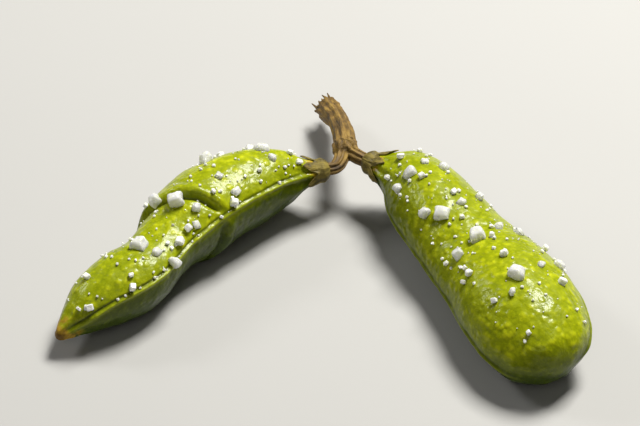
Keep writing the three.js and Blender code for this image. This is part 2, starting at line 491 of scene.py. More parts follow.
class Finish:
    """A material's node tree, drawn node by node around one Principled shader."""

    def __init__(self, name: str) -> None:
        """Starts a material.

        Args:
            name: its name.
        """
        self.material = bpy.data.materials.new(name)
        self.material.use_nodes = True
        self.tree = self.material.node_tree
        self.shader = next(n for n in self.tree.nodes if n.type == "BSDF_PRINCIPLED")

    def node(
        self, kind: str, inputs: dict[str | int, object] | None = None, **settings: object
    ) -> bpy.types.Node:
        """Adds a node.

        Args:
            kind: the node's type, without the leading ShaderNode.
            inputs: a value or an output socket for each input that is set.
            **settings: the node's properties.

        Returns:
            The node.
        """
        node = self.tree.nodes.new("ShaderNode" + kind)
        for key, value in settings.items():
            setattr(node, key, value)
        for key, value in (inputs or {}).items():
            self.feed(node.inputs[key], value)
        return node

    def feed(self, socket: bpy.types.NodeSocket, value: object) -> None:
        """Links an output to a socket, or sets the socket's own value.

        Args:
            socket: the input that is fed.
            value: an output socket, a colour or another value.
        """
        if isinstance(value, bpy.types.NodeSocket):
            self.tree.links.new(value, socket)
        elif isinstance(value, tuple) and len(value) == 3 and socket.type == "RGBA":
            socket.default_value = (*value, 1.0)
        else:
            socket.default_value = value

    def place(self) -> bpy.types.NodeSocket:
        """The place on the piece, in metres."""
        return self.node("TexCoord").outputs["Object"]

    def attribute(self, name: str, output: str = "Fac") -> bpy.types.NodeSocket:
        """What a piece's vertices were marked with."""
        return self.node("Attribute", attribute_name=name).outputs[output]

    def scaled(self, vector: bpy.types.NodeSocket, scale: Triple, turn: float = 0.0) -> bpy.types.NodeSocket:
        """Coordinates scaled along each axis and turned about the third axis by so many radians."""
        inputs = {"Vector": vector, "Scale": scale, "Rotation": (0.0, 0.0, turn)}
        return self.node("Mapping", inputs).outputs["Vector"]

    def clouds(
        self, vector: bpy.types.NodeSocket, scale: float, detail: float = 3.0, warp: float = 0.0
    ) -> bpy.types.NodeSocket:
        """Smooth random values from 0 to 1.

        Args:
            vector: the coordinates.
            scale: how many lumps there are in one unit.
            detail: how many finer layers are added up.
            warp: how much the pattern is twisted.

        Returns:
            The values' socket.
        """
        inputs = {"Vector": vector, "Scale": scale, "Detail": detail, "Distortion": warp}
        return self.node("TexNoise", inputs).outputs["Fac"]

    def between(
        self,
        value: bpy.types.NodeSocket,
        low: float,
        high: float,
        to_low: float = 0.0,
        to_high: float = 1.0,
    ) -> bpy.types.NodeSocket:
        """Stretches the values from low to high over another range, with smooth ends.

        Args:
            value: the values' socket.
            low: the value that becomes to_low.
            high: the value that becomes to_high.
            to_low: the range's start.
            to_high: the range's end.

        Returns:
            The new values' socket.
        """
        inputs = {"Value": value, "From Min": low, "From Max": high, "To Min": to_low, "To Max": to_high}
        return self.node("MapRange", inputs, interpolation_type="SMOOTHSTEP").outputs["Result"]

    def sum(self, *values: object) -> bpy.types.NodeSocket:
        """Adds values up.

        Args:
            *values: two or more values or their sockets.

        Returns:
            The sum's socket.
        """
        total = values[0]
        for value in values[1:]:
            total = self.node("Math", {0: total, 1: value}, operation="ADD").outputs[0]
        return total

    def product(self, first: object, second: object) -> bpy.types.NodeSocket:
        """Multiplies two values."""
        return self.node("Math", {0: first, 1: second}, operation="MULTIPLY").outputs[0]

    def mixed(self, share: object, first: object, second: object, blend: str = "MIX") -> bpy.types.NodeSocket:
        """Mixes two colours.

        Args:
            share: 0 for the first colour and 1 for the second.
            first: a colour or its socket.
            second: a colour or its socket.
            blend: how they are mixed.

        Returns:
            The colour's socket.
        """
        inputs = {0: share, 6: first, 7: second}
        return self.node("Mix", inputs, data_type="RGBA", blend_type=blend).outputs[2]

    def ramp(self, value: bpy.types.NodeSocket, *stops: tuple[float, Colour]) -> bpy.types.NodeSocket:
        """A colour for each value.

        Args:
            value: the values' socket.
            *stops: (value, colour) of each stop, rising.

        Returns:
            The colour's socket.
        """
        node = self.node("ValToRGB", {"Fac": value})
        elements = node.color_ramp.elements
        while len(elements) < len(stops):
            elements.new(0.5)
        for element, (at, colour) in zip(elements, stops):
            element.position = at
            element.color = (*colour, 1.0)
        return node.outputs["Color"]

    def bumps(self, *layers: tuple[bpy.types.NodeSocket, float]) -> bpy.types.NodeSocket:
        """A normal with bumps of several sizes.

        Args:
            *layers: (heights from 0 to 1, their depth in millimetres) of each size.

        Returns:
            The normal's socket.
        """
        normal = None
        for height, depth in layers:
            inputs = {"Height": height, "Distance": depth * MM, "Strength": 1.0}
            node = self.node("Bump", inputs)
            if normal is not None:
                self.feed(node.inputs["Normal"], normal)
            normal = node.outputs["Normal"]
        return normal

    def shade(self, **sockets: object) -> bpy.types.Material:
        """Sets the shader's sockets, named with _ for a space.

        Args:
            **sockets: a value or a socket for each.

        Returns:
            The finished material.
        """
        for key, value in sockets.items():
            self.feed(self.shader.inputs[key.replace("_", " ")], value)
        return self.material


@dataclass(frozen=True)
class PodSkin:
    """The wet, mottled skin of a boiled green pod, with its pale seams, its brown ends, and painted shade in
    its grooves and underneath.
    """

    length: float  # of the pod, in millimetres
    around: float = 40.0  # the same around it
    patch: float = 7.0  # how far apart the broad patches are, in millimetres
    mottle: float = 1.05  # the same for the mottles, the speckles and the pebbled knobs
    speckle: float = 0.35
    pebble: float = 0.9
    deep: Colour = (0.07, 0.105, 0.001)
    dull: Colour = (0.19, 0.235, 0.002)
    green: Colour = (0.30, 0.345, 0.002)
    bright: Colour = (0.57, 0.60, 0.008)
    shade: Colour = (0.16, 0.22, 0.14)  # painted shade: what its colours are multiplied by on the lower valve and on the sides that face down
    seam: Colour = (0.40, 0.46, 0.02)
    # painted shade in the grooves along the seams and in the waist's fold
    groove_and_shade: Colour = (0.03, 0.045, 0.002)
    tan: Colour = (0.44, 0.27, 0.022)
    brown: Colour = (0.16, 0.085, 0.010)

    def _veins(self, skin: Finish) -> bpy.types.NodeSocket:
        """The net of fine veins, which follows the pod's own map.

        Args:
            skin: the material's node tree.

        Returns:
            The socket of a value from 0 between the veins to 1 on them.
        """
        flat = skin.node("UVMap", uv_map="Skin").outputs["UV"]
        along = skin.scaled(flat, (self.length, self.around, 1.0), 0.5)
        shift = skin.node("TexNoise", {"Vector": along, "Scale": 0.5}).outputs["Color"]
        warped = skin.node("VectorMath", {0: along, 1: shift}, operation="ADD").outputs[0]
        net = {"Vector": skin.scaled(warped, (0.42, 0.95, 1.0)), "Scale": 1.0}
        cells = skin.node("TexVoronoi", net, feature="DISTANCE_TO_EDGE")
        return skin.between(cells.outputs["Distance"], 0.0, 0.11, 1.0, 0.0)

    def material(self, name: str) -> bpy.types.Material:
        """Draws the material.

        Args:
            name: its name.

        Returns:
            The material.
        """
        skin = Finish(name)
        place = skin.place()
        broad = skin.clouds(place, 1 / (self.patch * MM), 2.0)
        mottle = skin.clouds(place, 1 / (self.mottle * MM), 3.0)
        speckle = skin.clouds(place, 1 / (self.speckle * MM), 3.0)
        veins = self._veins(skin)
        pebbles = {"Vector": place, "Scale": 1 / (self.pebble * MM), "Smoothness": 0.5}
        apart = skin.node("TexVoronoi", pebbles, feature="SMOOTH_F1").outputs["Distance"]
        knobs = skin.between(apart, 0.1, 0.6, 1.0, 0.0)
        # the pebbled knobs' middles are a little lighter: partly a mottle of the skin, partly a painted
        # highlight on each knob
        tone = skin.sum(skin.product(broad, 0.32), skin.product(mottle, 0.38), skin.product(knobs, 0.1), 0.07)
        colour = skin.ramp(tone, (0.28, self.dull), (0.46, self.green), (0.64, self.bright))
        colour = skin.mixed(skin.product(veins, 0.12), colour, self.deep)
        colour = skin.mixed(skin.between(speckle, 0.55, 0.75, 0.0, 0.4), colour, self.bright)
        colour = skin.mixed(skin.between(speckle, 0.45, 0.25, 0.0, 0.25), colour, self.deep)
        # painted shade: the colours are darker on the lower valve and on the sides that face down
        colour = skin.mixed(skin.attribute("painted_shade"), colour, self.shade, "MULTIPLY")
        colour = skin.mixed(skin.product(skin.attribute("rib"), 0.4), colour, self.seam)
        # painted shade in the grooves along the seams and in the waist's fold
        colour = skin.mixed(skin.product(skin.attribute("groove_and_shade"), 0.85), colour, self.groove_and_shade)
        ends = skin.sum(skin.attribute("ends"), skin.between(mottle, 0.35, 0.65, -0.22, 0.22))
        colour = skin.mixed(skin.between(ends, 0.25, 0.8), colour, self.tan)
        colour = skin.mixed(skin.between(ends, 0.75, 1.2), colour, self.brown)
        dry = skin.product(skin.between(ends, 0.4, 0.9), 0.25)
        rough = skin.sum(skin.between(mottle, 0.35, 0.7, 0.34, 0.52), dry)
        normal = skin.bumps((mottle, 0.1), (veins, 0.005), (knobs, 0.05), (speckle, 0.012))
        return skin.shade(
            Base_Color=colour,
            Roughness=rough,
            Normal=normal,
            Coat_Normal=normal,
            Subsurface_Weight=0.08,
            Subsurface_Radius=(0.9, 1.0, 0.15),
            Subsurface_Scale=0.6 * MM,
            Specular_IOR_Level=0.08,
            Coat_Weight=0.5,
            Coat_Roughness=0.2,
            Coat_IOR=1.36,
        )


@dataclass(frozen=True)
class DryBark:
    """Brown fibrous bark, streaked along the limb."""

    dark: Colour = (0.03, 0.017, 0.003)
    brown: Colour = (0.15, 0.083, 0.012)
    tan: Colour = (0.36, 0.225, 0.042)
    streaks: float = 2.2  # how many there are in a millimetre across the limb
    stretch: float = 0.16  # the share of that along it
    patch: float = 1.6  # how far apart the patches are, in millimetres

    def material(self, name: str) -> bpy.types.Material:
        """Draws the material.

        Args:
            name: its name.

        Returns:
            The material.
        """
        bark = Finish(name)
        grain = bark.scaled(bark.attribute("grain", "Vector"), (self.stretch, 1.0, 1.0))
        fibres = bark.clouds(grain, self.streaks, 5.0, 0.5)
        hairs = bark.clouds(grain, self.streaks * 4.0, 3.0)
        patches = bark.clouds(bark.place(), 1 / (self.patch * MM), 3.0)
        tone = bark.sum(bark.product(fibres, 0.6), bark.product(patches, 0.4))
        colour = bark.ramp(tone, (0.33, self.dark), (0.48, self.brown), (0.64, self.tan))
        colour = bark.mixed(bark.between(hairs, 0.5, 0.75, 0.0, 0.5), colour, self.tan)
        rough = bark.between(fibres, 0.3, 0.7, 0.55, 0.8)
        normal = bark.bumps((fibres, 0.22), (hairs, 0.07))
        return bark.shade(Base_Color=colour, Roughness=rough, Normal=normal)


DRY_CALYX = DryBark((0.035, 0.026, 0.004), (0.12, 0.09, 0.010), (0.29, 0.22, 0.035), streaks=2.0)


@dataclass(frozen=True)
class SaltCrystal:
    """A rough white crystal of coarse salt, a little translucent."""

    clear: float = 0.3
    scatter: float = 1.2  # how far light spreads in it, in millimetres
    frost: float = 0.7  # how far apart the frosted patches are, in millimetres
    pit: float = 0.22  # the same for the pits
    white: Colour = (1.0, 1.0, 0.92)
    grey: Colour = (0.95, 0.95, 0.82)

    def material(self, name: str) -> bpy.types.Material:
        """Draws the material.

        Args:
            name: its name.

        Returns:
            The material.
        """
        salt = Finish(name)
        place = salt.place()
        frost = salt.clouds(place, 1 / (self.frost * MM), 4.0)
        pits = salt.clouds(place, 1 / (self.pit * MM), 3.0)
        return salt.shade(
            Base_Color=salt.ramp(frost, (0.35, self.grey), (0.6, self.white)),
            Roughness=salt.between(frost, 0.35, 0.65, 0.08, 0.28),
            Normal=salt.bumps((frost, 0.07), (pits, 0.02)),
            Transmission_Weight=self.clear,
            IOR=1.4,
            Subsurface_Weight=0.85,
            Subsurface_Radius=(1.0, 1.0, 0.85),
            Subsurface_Scale=self.scatter * MM,
        )


@dataclass(frozen=True)
class PaleFloor:
    """A plain pale studio floor."""

    colour: Colour = (0.46, 0.455, 0.44)
    hazy: Colour = (0.42, 0.41, 0.40)
    patches: float = 30.0  # how many there are in a metre

    def material(self, name: str) -> bpy.types.Material:
        """Draws the material.

        Args:
            name: its name.

        Returns:
            The material.
        """
        floor = Finish(name)
        haze = floor.clouds(floor.place(), self.patches, 2.0)
        shade = floor.mixed(floor.between(haze, 0.3, 0.7, 0.0, 0.06), self.colour, self.hazy)
        return floor.shade(Base_Color=shade, Roughness=0.75)


# ---- the pods ---------------------------------------------------------------------------------


@dataclass
class Pod:
    """A green pod with two bean bulges, a seam along each side, a neck and a beak."""

    side: Side
    spine: Sequence[Triple]
    stations: Sequence[tuple[float, ...]]
    roll: float
    waist: float  # where the two bulges meet, along the spine
    slant: float  # how much further along they meet at the left seam than on top
    crease: float  # depth of the fold there, which also sets its painted shade
    furrow: float  # strength of the grooves along the seams: their depth and their painted shade
    brown_tip: float  # how far the beak is brown
    sides: int = 36
    steps: int = 24
    cuts: int = 7
    dome: float = 0.55  # over this length both ends round off
    rib_height: float = 0.18
    groove_depth: float = 0.16
    neck_pleats: float = 0.11
    beak_pleats: float = 0.08
    lumps: float = 0.16
    pimples: float = 0.05

    def __post_init__(self) -> None:
        """Lays out the pod's body."""
        self.limb = Limb(self.spine, self.stations, self.roll)

    def _from_ends(self, s: np.ndarray) -> tuple[np.ndarray, np.ndarray]:
        """Distances from the stalk end and from the beak's end."""
        return s - self.limb.start, self.limb.end - s

    def _closing(self, s: np.ndarray) -> np.ndarray:
        """The share of its width that the pod has at s: 1, and round down to 0 at its very ends."""
        near = np.clip(np.minimum(*self._from_ends(s)) / self.dome, 0.0, 1.0)
        return np.sqrt(1.0 - (1.0 - near) ** 2)

    def seams(self, s: np.ndarray, angle: np.ndarray) -> tuple[np.ndarray, np.ndarray]:
        """Where the seams' pale ribs and the grooves along them, with their painted shade, are.

        Args:
            s: distances along the spine.
            angle: angles around it.

        Returns:
            The rib's strength and the groove's, which sets its depth and its painted shade, from 0 to 1.
        """
        height = self.limb.rise(s, angle)
        first, last = self._from_ends(s)
        there = smoothstep(0.4, 0.8, np.abs(np.cos(angle)))
        there = there * smoothstep(1.0, 5.0, first) * smoothstep(0.3, 3.0, last)
        furrows = bell(height - 0.42, 0.16) + 0.25 * bell(height + 0.42, 0.16)
        return bell(height, 0.18) * there, self.furrow * furrows * there

    def _past_waist(self, s: np.ndarray, angle: np.ndarray, points: np.ndarray) -> np.ndarray:
        """How far beyond the fold between the bulges each point is, along the spine."""
        return s - self.waist - self.slant * np.cos(angle) - 0.4 * fractal(points, 4.0, 2, 3.1)

    def _wrinkles(self, s: np.ndarray, angle: np.ndarray, points: np.ndarray) -> np.ndarray:
        """Heights of the fold at the waist and of the wrinkles beside it.

        Args:
            s: distances along the spine.
            angle: angles around it.
            points: the points of the smooth skin there.

        Returns:
            One height for each point, in millimetres.
        """
        away = self._past_waist(s, angle, points)
        flank = smoothstep(0.15, 0.5, np.abs(np.sin(angle)))
        heights = -self.crease * bell(away, 0.42) + 0.5 * self.crease * bell(away + 1.3, 0.9)
        patchy = 0.5 + 0.8 * fractal(points, 2.6, 2, 7.7)
        wrinkles = ((-3.3, 0.05), (-2.3, 0.08), (-1.5, 0.07), (1.0, 0.09), (1.8, 0.07), (2.9, 0.05))
        for offset, depth in wrinkles:
            strength = np.clip(patchy + 0.2 * np.sin(offset * 5.0 + 2 * angle), 0, 1)
            heights -= depth * bell(away - offset, 0.22) * strength
        return heights * flank

    def sculpted(self, s: np.ndarray, angle: np.ndarray) -> np.ndarray:
        """Points of the finished skin.

        Args:
            s: distances along the spine.
            angle: angles around it.

        Returns:
            One row for each s, in millimetres.
        """
        closing = self._closing(s)
        points = self.limb.skin(s, angle, closing)
        first, last = self._from_ends(s)
        rib, groove_and_shade = self.seams(s, angle)
        uneven = 0.8 + 0.5 * fractal(points, 3.5, 2, 1.3)
        height = self.rib_height * rib * uneven - self.groove_depth * groove_and_shade * uneven
        height += self._wrinkles(s, angle, points)
        at_neck = self.neck_pleats * np.cos(9 * angle + 0.5 * np.sin(s))
        height += at_neck * smoothstep(7.0, 2.0, first) * smoothstep(0.5, 1.5, first)
        at_beak = self.beak_pleats * np.cos(7 * angle + 1.0)
        height += at_beak * smoothstep(6.0, 2.5, last) * smoothstep(0.2, 1.5, last)
        height += self.lumps * fractal(points, 5.0, 2, 9.2) + self.pimples * fractal(points, 1.5, 2, 4.4)
        return settle_on_surface(points + self.limb.normals(s, angle) * (height * closing)[:, None])

    def _blank(self) -> tuple[bpy.types.Object, np.ndarray, np.ndarray]:
        """Makes the straight tube that becomes the pod, with its rings closer together at the ends.

        Returns:
            The tube, and each vertex's distance along the spine and angle around it.
        """
        eased = (1.0 - np.cos(np.linspace(0.0, math.pi, self.steps + 1))) / 2.0
        even = np.linspace(0.0, 1.0, self.steps + 1)
        places = (self.limb.end - self.limb.start) * (0.45 * eased + 0.55 * even)
        blank = extruded_tube(f"pod_skin_{self.side.value}", np.diff(places), self.sides, self.cuts)
        at = coordinates(blank)
        return blank, self.limb.start + at[:, 2], np.arctan2(at[:, 1], at[:, 0])

    def _unwrap(self, pod: bpy.types.Object, s: np.ndarray, angle: np.ndarray) -> None:
        """Gives the skin its map: along the pod and around it, with the map's edge underneath.

        Args:
            pod: the straight tube.
            s: each vertex's distance along the spine.
            angle: its angle around the spine.
        """
        corners = np.empty(len(pod.data.loops), np.int32)
        pod.data.loops.foreach_get("vertex_index", corners)
        turn = ((angle + math.pi / 2) % ROUND_TURN) / ROUND_TURN
        around = turn[corners].reshape(-1, 4)
        across = (around.max(1) - around.min(1) > 0.5)[:, None]
        around = np.where(across & (around < 0.5), around + 1.0, around)
        along = (s[corners] - self.limb.start) / (self.limb.end - self.limb.start)
        flat = np.stack([along, around.ravel()], axis=1)
        layer = pod.data.uv_layers.new(name="Skin")
        layer.data.foreach_set("uv", flat.astype(np.float32).ravel())

    def _colour_marks(self, pod: bpy.types.Object, s: np.ndarray, angle: np.ndarray) -> None:
        """Marks where the skin is pale, where it gets painted shade (in the furrows, in the waist's fold, on
        the lower valve and on the sides that face down) and where it is brown, for the finish to read.

        Args:
            pod: the straight tube.
            s: each vertex's distance along the spine.
            angle: its angle around the spine.
        """
        rib, groove_and_shade = self.seams(s, angle)
        # painted shade in the grooves along the seams and in the waist's fold
        fold = bell(self._past_waist(s, angle, self.limb.skin(s, angle)), 0.35) * min(self.crease, 1.0)
        mark(pod, "rib", rib)
        mark(pod, "groove_and_shade", np.maximum(groove_and_shade, fold * np.abs(np.sin(angle))))
        # painted shade on the lower valve and on the sides that face down
        lower_valve_shade = 0.85 * smoothstep(-0.02, -0.3, np.sin(angle))
        facing_down_shade = smoothstep(0.72, -0.32, self.limb.normals(s, angle)[:, 2])
        mark(pod, "painted_shade", np.maximum(facing_down_shade, lower_valve_shade))
        tip = self.limb.frames(np.array([self.limb.end]))[0]
        from_tip = np.linalg.norm(self.limb.skin(s, angle, self._closing(s)) - tip, axis=1)
        at_tip = 1.15 - from_tip / self.brown_tip if self.brown_tip else np.zeros(len(s))
        at_stalk = 0.85 - self._from_ends(s)[0] / 3.2
        mark(pod, "ends", np.maximum(at_tip, at_stalk).clip(0.0, 1.2))

    def build(self) -> bpy.types.Object:
        """Models the pod.

        Returns:
            The pod's skin, in millimetres.
        """
        pod, s, angle = self._blank()
        self._unwrap(pod, s, angle)
        self._colour_marks(pod, s, angle)
        move_vertices(pod, self.sculpted(s, angle))
        close_and_orient(pod)
        bpy.ops.object.shade_smooth()
        return pod

    def dress(self, pod: bpy.types.Object) -> None:
        """Gives the pod its skin and hangs it on the frame."""
        finish = PodSkin(self.limb.end - self.limb.start)
        hand_over(pod, finish.material(f"pod_skin_{self.side.value}"), [f"pod_{self.side.value}"])


# ---- the calyxes ------------------------------------------------------------------------------


@dataclass
class Calyx:
    """The dried cup with five pointed teeth that grips a pod's neck."""

    pod: Pod
    base: float = -1.0  # where the cup starts along the pod's spine
    notch: float = 0.8  # where it ends between two teeth
    tip: float = 2.5  # where an average tooth ends
    full: float = 0.6  # from here on the pod has its full width, and the cup lies on it
    teeth: int = 5
    taper: float = 1.25
    uneven: float = 0.16
    ribs: int = 15
    rib_height: float = 0.04
    flare: float = 0.06
    crumple: float = 0.06
    thickness: float = 0.14
    clearance: float = 0.05
    rings: int = 7
    sides_per_tooth: int = 8
    cuts: int = 3

    def _radius(self, s: np.ndarray) -> np.ndarray:
        """Radius of the cup's bottom, before it follows the pod."""
        return np.interp(s, [self.base, self.base + 0.35, -0.1, self.full], [0.55, 1.05, 1.5, 1.75])

    def _outline(self, angle: np.ndarray) -> tuple[np.ndarray, np.ndarray]:
        """The cup's rim with its pointed teeth.

        Args:
            angle: angles around the pod's spine.

        Returns:
            How near each angle is to the middle of its tooth, from 0 to 1, and where the cup ends
            there, along the spine.
        """
        turns = angle / ROUND_TURN * self.teeth
        tooth = np.floor(turns)
        middle = 1.0 - np.abs(2.0 * (turns - tooth) - 1.0)
        length = 1.0 + self.uneven * np.sin(tooth * GOLDEN_TURN + 1.0)
        return middle, self.notch + (self.tip - self.notch) * length * middle**self.taper

    def _shaped(self, up: np.ndarray, angle: np.ndarray) -> tuple[np.ndarray, np.ndarray]:
        """The cup's inner wall: a rounded bottom, and teeth that lie on the pod's sculpted skin.

        Args:
            up: 0 at the cup's bottom and 1 at its rim.
            angle: angles around the pod's spine.

        Returns:
            One point for each, in millimetres, and its place along the fibres.
        """
        middle, top = self._outline(angle)
        s = self.base + (top - self.base) * up
        limb = self.pod.limb
        place, _, left, rise = limb.frames(s)
        reach, thick = limb.reach(np.maximum(s, 0.0), angle), limb.size(np.maximum(s, 0.0))[:, 2]
        grain = np.stack([s, reach * np.cos(angle), thick * np.sin(angle)], axis=1)
        follow = smoothstep(-0.4, 0.8, s)
        flare = self.flare * up**3 * middle + self.rib_height * (1.0 + np.cos(self.ribs * angle)) * up
        bottom = self._radius(s) * (1.0 - follow)
        wide, high = ((size + self.clearance + flare) * follow + bottom for size in (reach, thick))
        points = place + left * (wide * np.cos(angle))[:, None] + rise * (high * np.sin(angle))[:, None]
        crumple = np.stack([fractal(points, 0.9, 2, k) for k in (1.0, 2.0, 3.0)], axis=1)
        on_pod = np.maximum(s, self.full)
        lift = self.clearance + flare + 0.04 * (1.0 + crumple[:, 0]).clip(0.0, 2.0)
        worn = self.pod.sculpted(on_pod, angle) + limb.normals(on_pod, angle) * lift[:, None]
        hug = smoothstep(0.2, 0.9, s)[:, None]
        return (points + self.crumple * crumple * up[:, None]) * (1.0 - hug) + worn * hug, grain

    def build(self) -> bpy.types.Object:
        """Models the cup.

        Returns:
            The calyx, in millimetres.
        """
        name = f"calyx_cup_{self.pod.side.value}"
        sides = self.sides_per_tooth * self.teeth
        cup = extruded_tube(name, [1.0 / self.rings] * self.rings, sides, self.cuts)
        at = coordinates(cup)
        points, grain = self._shaped(at[:, 2], np.arctan2(at[:, 1], at[:, 0]))
        move_vertices(cup, points)
        mark(cup, "grain", grain)
        with editing(cup):
            bpy.ops.mesh.normals_make_consistent(inside=False)
        apply_modifier(cup, "SOLIDIFY", thickness=self.thickness, offset=1.0, use_even_offset=True)
        bpy.ops.object.shade_smooth()
        return cup

    def dress(self, cup: bpy.types.Object) -> None:
        """Gives the calyx its dry, papery finish and hangs it on the frame."""
        hand_over(cup, DRY_CALYX.material(cup.name), [f"calyx_{self.pod.side.value}"])


# ---- the twig ---------------------------------------------------------------------------------


@dataclass
class Twig:
    """The torn piece of stem, its swollen knob and a stalk to each pod."""

    pods: Sequence[Pod]
    stem_spine: Sequence[Triple] = ((2.4, 20.4, 6.5), (2.2, 24.2, 6.0), (1.4, 28.4, 4.9), (0.2, 32.8, 3.3))
    stem: Sequence[tuple[float, float]] = ((0.0, 1.3), (6.0, 1.3), (12.0, 1.5), (15.0, 1.65))
    stalk: Sequence[tuple[float, float]] = ((0.0, 1.1), (2.0, 0.88), (10.0, 0.85))
    into_calyx: float = -0.55
    bend: float = 1.4
    knob: float = 1.65
    voxel: float = 0.12
    tube_sides: int = 16
    torn_length: float = 1.2
    fibre_stretch: float = 0.16
    splinters: int = 22
    frayed: float = 1.15  # how far from the middle of the torn end the splinters stand
    splinter_root: float = 0.9  # how deep they are set in
    crooked: float = 0.16

    def __post_init__(self) -> None:
        """Lays out the stem and the stalks."""
        self.limbs = [Limb(self.stem_spine, round_stations(*self.stem), sharpness=0.0)]
        node = np.array(self.stem_spine[0])
        for pod in self.pods:
            place, ahead, _, _ = pod.limb.frames(np.array([self.into_calyx]))
            end = place[0] + MIDDLE
            spine = [node, end - ahead[0] * self.bend, end]
            self.limbs.append(Limb(spine, round_stations(*self.stalk), sharpness=0.0))

    def _tube(self, limb: Limb) -> bpy.types.Object:
        """Models one limb as a closed tube.

        Args:
            limb: the stem or a stalk.

        Returns:
            The tube, in millimetres.
        """
        tube = extruded_tube("limb", [limb.end / 16] * 16, self.tube_sides)
        at = coordinates(tube)
        move_vertices(tube, limb.skin(at[:, 2], np.arctan2(at[:, 1], at[:, 0])))
        close_and_orient(tube)
        return tube

    def _grain(self, points: np.ndarray) -> np.ndarray:
        """Where each point lies in the fibres of the limb that it is nearest to.

        Args:
            points: one row for each point, in millimetres.

        Returns:
            How far along the limb, to the left of its middle and above it, one row for each point.
        """
        nearest = np.full(len(points), np.inf)
        grain = np.zeros((len(points), 3))
        for limb in self.limbs:
            s = np.linspace(0.0, limb.end, 60)
            place, _, left, up = limb.frames(s)
            apart = np.linalg.norm(points[:, None] - place[None], axis=2)
            k = apart.argmin(axis=1)
            off = points - place[k]
            own = np.stack([s[k], (off * left[k]).sum(1), (off * up[k]).sum(1)], axis=1)
            closer = apart.min(axis=1) < nearest
            grain[closer] = own[closer]
            nearest = np.minimum(nearest, apart.min(axis=1))
        return grain

    def _splinter(self, index: int) -> bpy.types.Object:
        """Models one fibre of the torn end: a bent five-sided spike.

        Args:
            index: which of the splinters it is.

        Returns:
            The spike, in millimetres.
        """
        limb = self.limbs[0]
        place, ahead, left, up = (row[0] for row in limb.frames(np.array([limb.end])))
        turn = GOLDEN_TURN * index
        out = self.frayed * math.sqrt((index + 0.5) / self.splinters)
        sideways = left * math.cos(turn) + up * math.sin(turn)
        length = 1.5 + 2.0 * (0.5 + 0.5 * math.sin(3.7 * index)) ** 2
        way = Vector(ahead + sideways * (0.12 + 0.1 * math.sin(1.9 * index)))
        middle = Vector(place + sideways * out) + way.normalized() * (length / 2 - self.splinter_root)
        bpy.ops.object.select_all(action="DESELECT")
        bpy.ops.mesh.primitive_cone_add(
            vertices=5,
            radius1=0.40 + 0.18 * math.sin(5.1 * index) ** 2,
            radius2=0.07,
            depth=length,
            location=middle,
            rotation=way.to_track_quat("Z", "Y").to_euler(),
        )
        spike = bpy.context.active_object
        bpy.ops.object.transform_apply(location=True, rotation=True, scale=True)
        with editing(spike):
            bpy.ops.mesh.subdivide(number_cuts=2)
        points = coordinates(spike)
        bends = np.stack([fractal(points, 1.1, 2, index + k) for k in (0.3, 0.6, 0.9)], axis=1)
        move_vertices(spike, points + self.crooked * bends)
        return spike

    def _bark(self, points: np.ndarray) -> np.ndarray:
        """Heights of the bark's ribs, fibres and lumps.

        Args:
            points: one row for each point of the smooth twig, in millimetres.

        Returns:
            One height for each point, in millimetres.
        """
        grain = self._grain(points)
        turn = np.arctan2(grain[:, 2], grain[:, 1])
        stretched = grain * [self.fibre_stretch, 1.0, 1.0]
        ribs = 0.09 * np.cos(9 * turn + 0.8 * np.sin(0.5 * grain[:, 0]))
        height = ribs + 0.16 * fractal(stretched, 0.8, 4, 2.2)
        height += 0.1 * fractal(points, 2.2, 2, 6.6)
        torn = smoothstep(self.torn_length, 0.0, self.limbs[0].end - grain[:, 0])
        return height + torn * 0.25 * fractal(stretched, 0.5, 3, 8.8)

    def build(self) -> bpy.types.Object:
        """Models the twig.

        Returns:
            The twig, in millimetres.
        """
        parts = [self._tube(limb) for limb in self.limbs]
        node = Vector(np.array(self.stem_spine[0]) - MIDDLE)
        bpy.ops.object.select_all(action="DESELECT")
        bpy.ops.mesh.primitive_ico_sphere_add(subdivisions=3, radius=self.knob, location=node)
        bpy.ops.object.transform_apply(location=True, rotation=True, scale=True)
        parts.append(bpy.context.active_object)
        twig = join(parts)
        twig.name = "twig_bark"
        apply_modifier(twig, "REMESH", mode="VOXEL", voxel_size=self.voxel)
        apply_modifier(twig, "SMOOTH", factor=0.5, iterations=12)
        points = coordinates(twig)
        move_vertices(twig, points + vertex_normals(twig) * self._bark(points)[:, None])
        twig = join([twig, *(self._splinter(i) for i in range(self.splinters))])
        mark(twig, "grain", self._grain(coordinates(twig)))
        bpy.ops.object.shade_smooth()
        return twig

    def dress(self, twig: bpy.types.Object) -> None:
        """Gives the twig its bark and hangs it on the frame."""
        hand_over(twig, DryBark().material("twig_bark"), ["twig"])


# ---- the salt ---------------------------------------------------------------------------------


